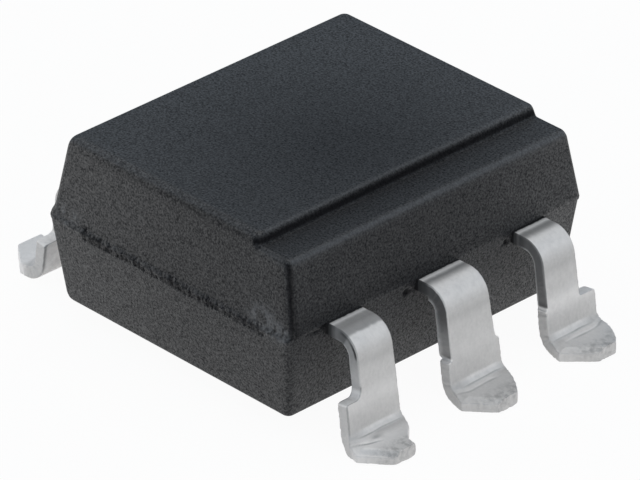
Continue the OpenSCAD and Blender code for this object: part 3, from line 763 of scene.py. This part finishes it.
def lead_path(s, lead):
    """Middle of a lead's thickness in X and Z from its inner end to its toe: a flat run, the knee's arc,
    the leaning shin, the heel's arc and the foot. Gives the places, the outward normals and where the
    heel's bend starts in X. Two close stations stand where the flat run's width steps, and at each
    shoulder, with more on both sides of it."""
    lean, middle = s.shin_lean, s.thickness / 2
    knee = np.array([HALF_BODY + s.exit_run, PARTING - s.thickness - s.knee_radius])
    bends = s.knee_radius + s.thickness + s.heel_radius
    heel_z = s.thickness + s.heel_radius
    shin = (knee[1] + bends * math.sin(lean) - heel_z) / math.cos(lean)
    heel = np.array([knee[0] + bends * math.cos(lean) + shin * math.sin(lean), heel_z])

    pair, close = np.array([-0.002, 0.002]), np.linspace(-0.06, 0.06, 15)
    flat_x = np.concatenate([[lead.inner], lead.step + pair, np.linspace(HALF_BODY - 0.3, knee[0], 60)])
    turned = np.linspace(math.pi / 2, lean, 30)[1:]
    knee_out = np.stack([np.cos(turned), np.sin(turned)], axis=-1)
    top = knee + (s.knee_radius + middle) * knee_out[-1]
    marks = [(top[1] - side.level) / math.cos(lean) for side in lead.sides]
    along = np.concatenate([np.linspace(0, shin, 60)[1:-1], *[mark + pair for mark in marks],
                            *[mark + close for mark in marks]])
    along = np.sort(along)
    turned = np.linspace(math.pi + lean, 1.5 * math.pi, 26)
    heel_out = -np.stack([np.cos(turned), np.sin(turned)], axis=-1)
    foot_x = np.linspace(heel[0], s.span / 2, 60)[1:]
    points = np.concatenate([np.stack([flat_x, np.full_like(flat_x, PARTING - middle)], axis=-1),
                             knee + (s.knee_radius + middle) * knee_out,
                             top + along[:, None] * np.array([math.sin(lean), -math.cos(lean)]),
                             heel - (s.heel_radius + middle) * heel_out,
                             np.stack([foot_x, np.full_like(foot_x, middle)], axis=-1)])
    up = np.array([0.0, 1.0])
    normals = np.concatenate([np.tile(up, (len(flat_x), 1)), knee_out, np.tile(knee_out[-1], (len(along), 1)),
                              heel_out, np.tile(up, (len(foot_x), 1))])
    return points, normals, heel[0] - s.heel_radius - middle


def formed_edge(points, bend_x, side, clipped, s):
    """Reach of a lead's edge from its pitch line outside the body: the strip's, which may splay downwards,
    a quarter ellipse down to the shoulder, the tab's with a rounded upper corner, then the foot's, which
    may have a nick. The clipped side flares from the heel's bend and is then cut straight to the toe; the
    other side narrows to the toe with a power of the way along the foot."""
    x, z = points[:, 0], points[:, 1]
    toe_x, tab = s.span / 2, side.strip + side.shoulder
    radius = min(s.tab_radius, side.shoulder / 2)
    wide, tall = side.fillet
    rise = np.clip((z - side.level) / tall, 0, 1)
    turn = np.clip((z - side.level) / radius + 1, 0, 1)
    splay = side.splay * (1 - smooth_step(z, side.level + 0.2, side.level + 1.0))
    fillet = side.strip + splay + wide * (1 - np.sqrt(1 - (1 - rise) ** 2))
    edge = np.where(z > side.level, fillet, tab - radius * (1 - np.sqrt(1 - turn ** 2)))
    if clipped or side.clip:
        long, flare, early = side.clip or (s.toe_clip, s.foot_flare, 0.5)
        foot = np.interp(x, [bend_x, (bend_x + toe_x - long) / 2, toe_x - long, toe_x],
                         [0, early * flare, flare, side.toe - tab])
    else:
        foot = (side.toe - tab) * np.clip((x - toe_x) / s.long_taper + 1, 0, 1) ** side.power
    nick = side.nick * bell(x, toe_x - s.nick_place, s.nick_width)
    return edge + foot - nick * (x > bend_x)


def heel_marks(to_toe, share, lead, seed):
    """Marks of the forming tool across the heel, as (relief, crease, lightening) at each station of the outer
    face: two tool facets lightened with painted highlight, each tapering towards one edge, with a low ridge
    along its lower end and a thin dark crease under it that is fainter towards the high edge. Both hook up at
    the low edge, the lower one may be tilted, and a smudge may lie in the middle of it. A facet is given by
    its top and bottom, as distances from the toe, and by the shares of the width between which it lies."""
    facets = ((1.14, 0.85, 0.1, 1.05, 0.0), (0.835, 0.635, -0.1, lead.facet_end, lead.facet_tilt))
    wander = 0.04 * (value_noise(share * 5 + seed, to_toe / 0.3, seed + 60) - 0.5)
    level = to_toe - 0.1 * bell(share, 0, 0.13) + wander
    strength = 0.15 + 0.6 * value_noise(share * 4 + 7 * seed, share * 0, seed + 70)
    strength = strength * (1 - 0.6 * smooth_step(share, 0.45, 0.85))
    relief, crease, polish = 0.0, 0.0, 0.0
    for top, bottom, low_end, high_end, tilt in facets:
        extent = smooth_step(share, low_end, low_end + 0.3)
        extent = extent * (1 - smooth_step(share, high_end - 0.25, high_end))
        tilted = level + tilt * share
        facet = smooth_step(tilted, bottom - 0.01, bottom + 0.02) * (1 - smooth_step(level, top - 0.1, top))
        relief = relief + 0.012 * bell(tilted, bottom + 0.03, 0.06) * extent
        crease = crease + bell(tilted, bottom - 0.02, 0.018) * extent * strength
        # Painted highlight on each tool facet
        polish = polish + 0.7 * facet * extent
    smudge = bell(share, 0.43, 0.09) * bell(to_toe, 0.63, 0.06)
    polish = polish * (1 - smudge * (lead.smudge > 0))
    return relief * lead.marked, crease * lead.marked + lead.smudge * smudge, polish * lead.marked


def exit_marks(beyond, share, lead, seed):
    """Rim of epoxy and darker band on a lead beside the body, as (flash, band) at each station: the rim,
    then a light line, then the band, which may deepen, and fades out towards its end or ends sharply."""
    level = beyond + 0.02 * (value_noise(share * 22 + seed, beyond / 0.2, seed + 80) - 0.5)
    flash = 1 - smooth_step(level, 0.04, 0.06)
    fading = 1 - smooth_step(level, lead.band_fade, lead.band)
    deeper = 1 + lead.band_grow * smooth_step(level, 0.2, 0.42)
    return flash, lead.band_dark * deeper * smooth_step(level, 0.13, 0.21) * fading


def lead_rings(points, normals, low, high, section, lead, s, seed):
    """Rings of a lead: its section carried along its path between its low and its high edge. The sheared
    edges are a little uneven, a burr may stand along the inner corner of the low edge, the heel has its
    tool marks, the foot may be rolled over its edges and lifted, and the toe is cut ragged. Also gives the
    run along the path, and the crease and the painted highlight of the tool marks at each vertex."""
    share, height = section.share, section.height
    run = path_run(points)
    x, z, to_toe = points[:, :1], points[:, 1:], run[-1] - run[:, None]
    outer, edge = section.belongs > 0, section.belongs == 0
    above = smooth_step(z, s.inner_shoulder, s.outer_shoulder)
    uneven = value_noise(run[:, None] / 0.04, height / 0.12 + 9, seed) - 0.5
    uneven = uneven * (0.017 - 0.009 * above) * np.where(share > 0.5, 1, -1) * edge
    y = low[:, None] * (1 - share) + high[:, None] * share + section.inset + uneven

    relief, crease, polish = (part * outer for part in heel_marks(to_toe, share, lead, seed))
    level = lead.sides[0].level
    corner = 0.3 * (height < section.last + 0.002) + 0.7 * (height < section.last - 0.001)
    hem = lead.burr * corner * edge * (share < 0.5) * smooth_step(z, level, level + 0.05)
    hem = hem * (x > HALF_BODY + s.exit_run)
    across = (high - low)[:, None]
    rolled = sum(side.roll * bell(way * across, 0, 0.09) for side, way in zip(lead.sides, (share, 1 - share)))
    rolled = rolled * (1 - smooth_step(to_toe, 0.5, 0.8)) * (height / s.thickness + 0.5)
    lift = height + relief - rolled - hem
    sloped = (0.3 + 0.7 * smooth_step(to_toe, 0, 0.5)) * (1 - smooth_step(to_toe, 0.6, 1.8))
    ragged = value_noise(share * 12 + seed, height / 0.2 + 5, seed + 20)
    back = lead.ragged * ragged * smooth_step(-to_toe, -0.12, 0)
    x = x + normals[:, :1] * lift - back
    z = z + normals[:, 1:] * lift + lead.raised * sloped
    return np.stack([x, y, z], axis=-1), run, crease, polish


def sheared_tone(points, beyond, section, sides, s):
    """How dark each place on the sheared edges is, from unplated metal and painted shade: the strip's edges
    above the shoulder, down to a light line along the inner corner, with painted shade darkest beside the
    body and at the shoulder; a ragged crack along the outer corner from the knee down; and dark lines along
    the outer or the inner corner below the shoulder."""
    share, height, belongs = section.share, section.height, section.belongs
    z, straight = points[:, 1:], 0.001 - section.last
    lined = smooth_step(z, 0.2, 0.45)
    ragged = (0.3 + 0.7 * value_noise(beyond / 0.09, beyond * 0, 31)) * smooth_step(beyond, 0.3, 0.45)
    tone = np.zeros((len(points), len(share)))
    for side, own in zip(sides, (share < 0.5, share >= 0.5)):
        edge = own & (belongs == 0)
        rim = own & (belongs < 0) & (np.abs(share - np.round(share)) < 0.03)
        level, tall = side.level, side.fillet[1]
        shoulder = level + tall
        # Painted shade on the sheared edge beside the body
        shaded = 0.95 * (1 - smooth_step(beyond, side.shaded / 4, side.shaded))
        above = smooth_step(z, level + tall / 2, level + tall / 2 + 0.05)
        below = 1 - smooth_step(z, shoulder, shoulder + 0.05)
        fading = side.bare_low + (1 - side.bare_low) * smooth_step(z, level + 0.3, level + 0.9)
        fading = fading + 0.25 * (1 - smooth_step(z, shoulder, shoulder + 0.12))
        bare = side.bare * fading * (height > side.bare_from) * (height < side.bare_to)
        cracked = side.crack * ragged * smooth_step(z, level + 0.6, level + 0.85)
        tone += np.maximum(bare, shaded) * above * edge
        tone += cracked * (edge & (height > s.thickness / 5) & (height < straight))
        tone += side.outer_line * below * lined * (edge & (height > straight))
        tone += side.inner_line * below * lined * ((edge & (height < -straight)) | rim)
    return np.clip(tone, 0, 1)


def rubbed_tone(points, beyond, to_toe, section, lead, s):
    """How much each place is lightened away from the heel: a light line beside the body, and painted
    highlights on the outside of the knee, the middle of the shin, the foot, the tops of the shoulders, and
    the inner face and the burr where the lead has them so."""
    share, belongs = section.share, section.belongs
    z, edge = points[:, 1:], belongs == 0
    line = bell(beyond, 0.11, 0.035)
    knee = smooth_step(beyond, 0.3, 0.4) * (1 - smooth_step(beyond, 0.6, 0.8))
    shin = lead.shin_polish * bell(beyond, 1.64, 0.2)
    foot = 1 - smooth_step(to_toe, 0.55, 0.75)
    foot = foot * np.maximum(smooth_step(to_toe, 0.1, 0.5), lead.inner_polish)
    burr = (section.height < section.last + 0.002) & (share < 0.5) & edge & (lead.burr > 0)
    # Painted highlights on the knee, shin, foot, inner face and burr
    tone = (0.8 * line + 0.65 * knee + shin) * (belongs > 0) + lead.foot_polish * foot * (belongs >= 0)
    tone = tone + lead.inner_polish * (belongs < 0) * (beyond > 0) + burr * (z > s.inner_shoulder)
    for side, own in zip(lead.sides, (share < 0.5, share >= 0.5)):
        level, tall = side.level, side.fillet[1]
        top = smooth_step(z, level - 0.05, level - 0.01)
        top = top * (1 - smooth_step(z, level + tall * 0.6, level + tall))
        tone = tone + top * (own & edge)
    return np.clip(tone, 0, 1)


def strip_uv(piece, rings, run):
    """UV map in metres: along the strip, and across it."""
    across = rings[..., 1]
    uv = np.stack([np.broadcast_to(run[:, None], across.shape), across], axis=-1).reshape(-1, 2) * MM
    corners = np.empty(len(piece.data.loops), int)
    piece.data.loops.foreach_get("vertex_index", corners)
    layer = piece.data.uv_layers.new(name="strip")
    layer.data.foreach_set("uv", uv[corners].astype(np.float32).ravel())


def lead_plan(s):
    """Each lead in the frame of the positive row's first or middle lead, as its node, its sign in X and in
    Y, and its form. The form has its pitch line, its inner end, the place where its width steps inside the
    body, and its low and high side. A side has its reach before that step, and its strip, shoulder, level
    of the shoulder, fillet above it as (width, height), reach at the toe, and power of its taper. Its wear,
    trims and painted light and shade stand beside them."""
    plain = dict(PLAIN_SIDE, toe=s.toe_width / 2, power=s.long_power)
    outer = dict(plain, strip=s.end_strip_out, shoulder=s.end_shoulder_out, level=s.outer_shoulder,
                 fillet=(0.15, 0.2))
    inner = dict(plain, strip=s.end_strip_in, shoulder=s.end_shoulder_in, level=s.inner_shoulder,
                 fillet=(0.01, 0.08))
    sharp = dict(plain, strip=s.mid_strip, shoulder=s.mid_shoulder, level=s.inner_shoulder,
                 fillet=(0.03, 0.06))
    gentle = dict(sharp, fillet=(0.05, 0.3))
    pad_x, anchor_x = s.pad_gap / 2, HALF_BODY - s.anchor_depth
    emitter_post, detector_post = pad_x + s.emitter_inset, pad_x + s.detector_pad_length / 2

    def lead(node, sign_x, sign_y, pitch, inner_x, step, low, high):
        own, *own_sides = OWN_WEAR.get(node, ({}, {}, {}))
        sides = [SimpleNamespace(**dict(side, **worn)) for side, worn in zip((low, high), own_sides)]
        form = SimpleNamespace(**dict(PLAIN_LEAD, **own), pitch=pitch, inner=inner_x, step=step, sides=sides)
        return node, sign_x, sign_y, form

    def padded(node, sign_x, sign_y, pad_length, pad_width):
        return lead(node, sign_x, sign_y, 0.0, pad_x, pad_x + pad_length,
                    dict(sharp, reach=pad_width / 2), dict(gentle, reach=pad_width / 2))

    def posted(node, sign_x, sign_y, post_x, pad_width):
        return lead(node, sign_x, sign_y, -s.pitch, post_x - s.post_width / 2, post_x + s.post_width / 2,
                    dict(outer, reach=s.end_strip_out),
                    dict(inner, reach=s.pitch - pad_width / 2 - s.post_gap))

    def anchored(node, sign_x, sign_y):
        return lead(node, sign_x, sign_y, -s.pitch, anchor_x, anchor_x + s.anchor_length,
                    dict(outer, reach=s.end_strip_out + s.anchor_reach),
                    dict(inner, reach=s.end_strip_in + s.anchor_reach))

    return [
        posted("anode_lead", 1, 1, emitter_post, s.emitter_pad_width),
        padded("cathode_lead", 1, 1, s.emitter_pad_length, s.emitter_pad_width),
        anchored("unconnected_lead", 1, -1),
        posted("terminal_lead_a", -1, -1, detector_post, s.detector_pad_width),
        padded("substrate_lead", -1, -1, s.detector_pad_length, s.detector_pad_width),
        posted("terminal_lead_b", -1, 1, detector_post, s.detector_pad_width),
    ]


class OPTO_OT_leads(bpy.types.Operator):
    """Make the six formed leads"""

    bl_idname = "opto.leads"
    bl_label = "Leads"

    def execute(self, context):
        s = in_millimetres(context.scene.opto_leads)
        material, section = tin_plating(s), strip_section(s)
        outer = section.belongs > 0
        for seed, (node, sign_x, sign_y, lead) in enumerate(lead_plan(s), start=1):
            points, normals, bend_x = lead_path(s, lead)
            clipped = (True, False) if sign_x * sign_y > 0 else (False, True)
            inside = points[:, 0] < lead.step
            reach = [np.where(inside, side.reach, formed_edge(points, bend_x, side, clip, s))
                     for side, clip in zip(lead.sides, clipped)]
            low, high = lead.pitch - reach[0], lead.pitch + reach[1]
            rings, run, crease, polish = lead_rings(points, normals, low, high, section, lead, s, seed)
            start = np.interp(HALF_BODY + sign_x * BODY_SHIFT, points[:, 0], run)
            beyond = np.broadcast_to(run[:, None] - start, crease.shape)
            to_toe = run[-1] - start - beyond
            flash, band = exit_marks(beyond, section.share, lead, seed)
            # Painted shadow: a soft dark band where the knee ends
            shadow = 0.2 * bell(beyond, 0.92, 0.13) * outer
            stain = np.maximum(np.maximum(band, shadow), np.clip(crease, 0, 1))
            patchy = lead.patchy * (1 - smooth_step(to_toe, 0.1, 0.55)) * np.where(outer, 1.0, 0.35)
            polish = np.clip(polish + rubbed_tone(points, beyond, to_toe, section, lead, s), 0, 1)
            bare = sheared_tone(points, beyond, section, lead.sides, s)
            rings *= (sign_x, sign_y, 1)
            piece = piece_from_rings(f"formed_{node}", rings, material, flipped=sign_x * sign_y < 0)
            strip_uv(piece, rings, run)
            point_attributes(piece, flash=flash, stain=stain, patchy=patchy, polish=polish, bare=bare)
            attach(piece, "root")
            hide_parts(node)
        return {"FINISHED"}


# Finishes inside the body, by what a node's name ends with or has in its middle: the finish's name, its two
# tones, its grain, how metallic it is and its roughness
INNER_FINISHES = {
    "emitter_chip": ("emitter_crystal", (0.10, 0.06, 0.05), (0.16, 0.09, 0.07), 0.06, 0.0, 0.25),
    "detector_chip": ("detector_silicon", (0.10, 0.11, 0.13), (0.16, 0.16, 0.20), 0.08, 0.4, 0.2),
    "attach": ("silver_adhesive", (0.45, 0.44, 0.42), (0.62, 0.61, 0.58), 0.03, 0.5, 0.5),
    "wire": ("gold_wire", (0.75, 0.48, 0.16), (0.85, 0.60, 0.25), 0.02, 1.0, 0.25),
    "gel": ("clear_gel", (0.80, 0.84, 0.86), (0.90, 0.92, 0.93), 0.4, 0.0, 0.15),
}


class OPTO_OT_inner_pieces(bpy.types.Operator):
    """Give the chips, adhesive films, bond wires and gel inside the body their finishes"""

    bl_idname = "opto.inner_pieces"
    bl_label = "Inner pieces"

    def execute(self, context):
        finishes = {kind: inner_finish(*finish) for kind, finish in INNER_FINISHES.items()}
        finishes["gel"].set(Transmission_Weight=0.9, IOR=1.41)
        for kind, finish in finishes.items():
            parts = [part for node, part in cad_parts.items()
                     if node.endswith(kind) or f"_{kind}_" in node]
            if not parts:
                raise RuntimeError(f"No piece takes the finish {finish.material.name}")
            for part in parts:
                part.data.materials.clear()
                part.data.materials.append(finish.material)
        return {"FINISHED"}


def floor_material():
    """White paper: lit and shadowed like paper, and shown as clean white to the camera and in reflections."""
    shader = Shader("white_paper")
    fibre = shader.noise(2, detail=4)
    shader.join(Base_Color=shader.blend(fibre, (0.90, 0.90, 0.90), (0.94, 0.94, 0.94)))
    shader.set(Roughness=0.9, Specular_IOR_Level=0.0)
    ray = shader.nodes.new("ShaderNodeLightPath").outputs
    white = shader.node("ShaderNodeEmission", {"Color": (1, 1, 1, 1), "Strength": 1.0}).outputs[0]
    mirrored = shader.math("MAXIMUM", ray["Is Glossy Ray"], ray["Is Transmission Ray"])
    seen = shader.math("MAXIMUM", shader.math("MULTIPLY", ray["Is Camera Ray"], 0.95), mirrored)
    mixed = shader.node("ShaderNodeMixShader", {0: seen, 1: shader.surface.outputs[0], 2: white})
    shader.links.new(mixed.outputs[0], shader.nodes["Material Output"].inputs["Surface"])
    return shader.material


def room_world(level, tint):
    """Even dim light from the room, and a white background for the camera."""
    world = bpy.data.worlds.new("room")
    world.use_nodes = True
    nodes, links = world.node_tree.nodes, world.node_tree.links
    room, white = nodes["Background"], nodes.new("ShaderNodeBackground")
    room.inputs["Color"].default_value = (*tint, 1.0)
    room.inputs["Strength"].default_value = level
    white.inputs["Color"].default_value = (1, 1, 1, 1)
    mixed = nodes.new("ShaderNodeMixShader")
    ray = nodes.new("ShaderNodeLightPath").outputs
    links.new(ray["Is Camera Ray"], mixed.inputs[0])
    links.new(room.outputs[0], mixed.inputs[1])
    links.new(white.outputs[0], mixed.inputs[2])
    links.new(mixed.outputs[0], nodes["World Output"].inputs["Surface"])
    return world


def softbox(name, where, size, power, tint):
    """Square area lamp of a size at a place, both in millimetres, turned to the middle of the object."""
    lamp = bpy.data.lights.new(name, "AREA")
    lamp.energy, lamp.size, lamp.color = power, size * MM, tint
    made = bpy.data.objects.new(name, lamp)
    made.location = Vector(where) * MM
    made.rotation_euler = (Vector((0, 0, PARTING)) - Vector(where)).to_track_quat("-Z", "Y").to_euler()
    bpy.context.scene.collection.objects.link(made)


def paper_floor(radius, gap, inner_radius=6 * MM):
    """Round sheet of paper a small gap under the soles: rings round a flat middle."""
    turned = np.linspace(0, 2 * math.pi, 65)[:-1]
    rim = np.stack([np.cos(turned), np.sin(turned), turned * 0], axis=-1)
    rings = np.linspace(inner_radius, radius, 12)[:, None, None] * rim - (0, 0, gap)
    quads, caps = tube_faces(*rings.shape[:2], flipped=True)
    mesh = bpy.data.meshes.new("floor")
    mesh.from_pydata(rings.reshape(-1, 3), [], quads.tolist() + [caps[0].tolist()])
    mesh.materials.append(floor_material())
    floor = bpy.data.objects.new("floor", mesh)
    bpy.context.scene.collection.objects.link(floor)
    return floor


class OPTO_OT_stage(bpy.types.Operator):
    """Make the floor, the lamps, the room's light and the camera"""

    bl_idname = "opto.stage"
    bl_label = "Stage"

    def execute(self, context):
        s, scene = context.scene.opto_stage, context.scene
        scene.view_settings.view_transform = "Standard"
        floor = paper_floor(s.floor_radius, s.floor_gap)
        scene.world = room_world(s.room_light, s.room_tint)
        softbox("top_softbox", (-6, 4, 55), 50, s.top_light, s.lamp_tint)
        softbox("left_softbox", (-40, -35, 14), 30, s.left_light, s.lamp_tint)
        softbox("right_softbox", (50, -8, 14), 30, s.right_light, s.lamp_tint)
        softbox("far_softbox", (30, 45, 10), 20, s.far_light, s.lamp_tint)

        data = bpy.data.cameras.new("camera")
        data.lens, data.sensor_width = s.lens, 36
        data.clip_start, data.clip_end = 1 * MM, 10
        camera = bpy.data.objects.new("camera", data)
        level = math.cos(s.elevation)
        back = Vector((math.sin(s.azimuth) * level, -math.cos(s.azimuth) * level, math.sin(s.elevation)))
        camera.location = Vector(s.target) + back * s.distance
        camera.rotation_euler = (-back).to_track_quat("-Z", "Y").to_euler()
        scene.collection.objects.link(camera)
        scene.camera = camera
        return {"FINISHED"}


class OPTO_PT_sidebar(bpy.types.Panel):
    """Lists the optocoupler's operators and settings"""

    bl_label = "Optocoupler"
    bl_idname = "OPTO_PT_sidebar"
    bl_space_type = "VIEW_3D"
    bl_region_type = "UI"
    bl_category = "Optocoupler"

    def draw(self, context):
        for operator in OPERATORS:
            self.layout.operator(operator.bl_idname)
        for settings in SETTINGS:
            group = getattr(context.scene, settings)
            box = self.layout.box()
            for name, _ in own_properties(group):
                box.prop(group, name)


OPERATORS = (OPTO_OT_moulding, OPTO_OT_leads, OPTO_OT_inner_pieces, OPTO_OT_stage)
SETTINGS = {"opto_moulding": MouldingSettings, "opto_leads": LeadSettings, "opto_stage": StageSettings}
CLASSES = (*SETTINGS.values(), *OPERATORS, OPTO_PT_sidebar)


def register():
    """Registers the classes and adds their settings to the scene."""
    for entry in CLASSES:
        bpy.utils.register_class(entry)
    for name, settings in SETTINGS.items():
        setattr(bpy.types.Scene, name, PointerProperty(type=settings))


def unregister():
    """Takes the settings off the scene and the classes out again."""
    for name in SETTINGS:
        delattr(bpy.types.Scene, name)
    for entry in reversed(CLASSES):
        bpy.utils.unregister_class(entry)


def main():
    """Registers the classes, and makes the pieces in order."""
    register()
    bpy.ops.opto.moulding()
    bpy.ops.opto.leads()
    bpy.ops.opto.inner_pieces()
    bpy.ops.opto.stage()


if __name__ == "__main__":
    main()
